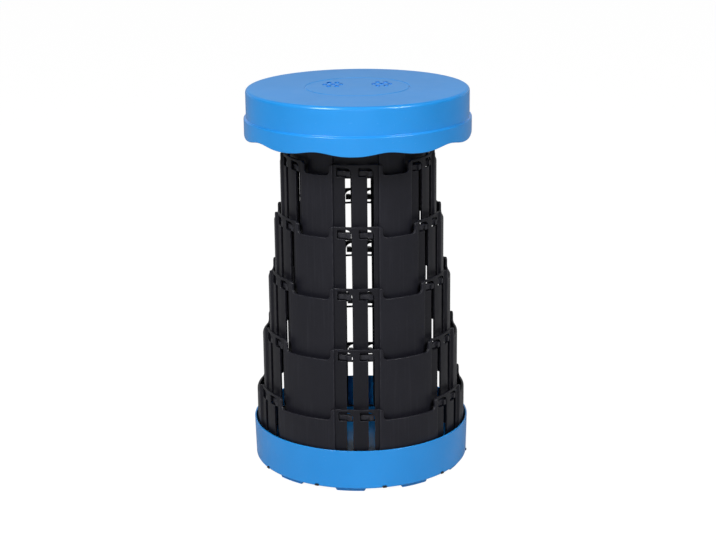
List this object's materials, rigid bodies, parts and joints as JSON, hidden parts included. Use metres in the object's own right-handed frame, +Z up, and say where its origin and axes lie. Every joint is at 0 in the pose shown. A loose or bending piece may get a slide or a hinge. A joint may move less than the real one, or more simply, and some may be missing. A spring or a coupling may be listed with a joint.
{
  "type": "collapsible stool",
  "caption": "Round plastic stool with a seat cover on nested telescopic tube rings that slide down into a shallow base tray.",
  "frame": {"origin": "on the floor at the middle of the base, under the stool's axis", "axes": "+Z up along the stool's axis, -Y towards the front, with the stool raised to its full height"},
  "size_m": [0.2562, 0.2562, 0.4373],
  "materials": {
    "blue_shell": "smooth moulded plastic with a soft gloss",
    "black_rings": "satin moulded plastic with faint flow lines and rubbed edges",
    "foot_rubber": "matt rubber"
  },
  "bodies": {
    "base": {"base_tray": "blue_shell", "tower_ring_6": "black_rings", "rubber_foot_01": "foot_rubber", "rubber_foot_02": "foot_rubber", "rubber_foot_03": "foot_rubber", "rubber_foot_04": "foot_rubber", "rubber_foot_05": "foot_rubber", "rubber_foot_06": "foot_rubber", "rubber_foot_07": "foot_rubber", "rubber_foot_08": "foot_rubber", "rubber_foot_09": "foot_rubber", "rubber_foot_10": "foot_rubber"},
    "stage_5": {"tower_ring_5": "black_rings"},
    "stage_4": {"tower_ring_4": "black_rings"},
    "stage_3": {"tower_ring_3": "black_rings"},
    "stage_2": {"tower_ring_2": "black_rings"},
    "seat": {"tower_ring_1": "black_rings", "seat_cover": "blue_shell"}
  },
  "joints": [
    {"name": "stage_5_slide", "type": "slide", "parent": "base", "child": "stage_5", "axis": [0, 0, 1], "range_m": [-0.0675, 0]},
    {"name": "stage_4_slide", "type": "slide", "parent": "stage_5", "child": "stage_4", "axis": [0, 0, 1], "range_m": [-0.0675, 0]},
    {"name": "stage_3_slide", "type": "slide", "parent": "stage_4", "child": "stage_3", "axis": [0, 0, 1], "range_m": [-0.0675, 0]},
    {"name": "stage_2_slide", "type": "slide", "parent": "stage_3", "child": "stage_2", "axis": [0, 0, 1], "range_m": [-0.0675, 0]},
    {"name": "seat_slide", "type": "slide", "parent": "stage_2", "child": "seat", "axis": [0, 0, 1], "range_m": [-0.0675, 0]}
  ]
}
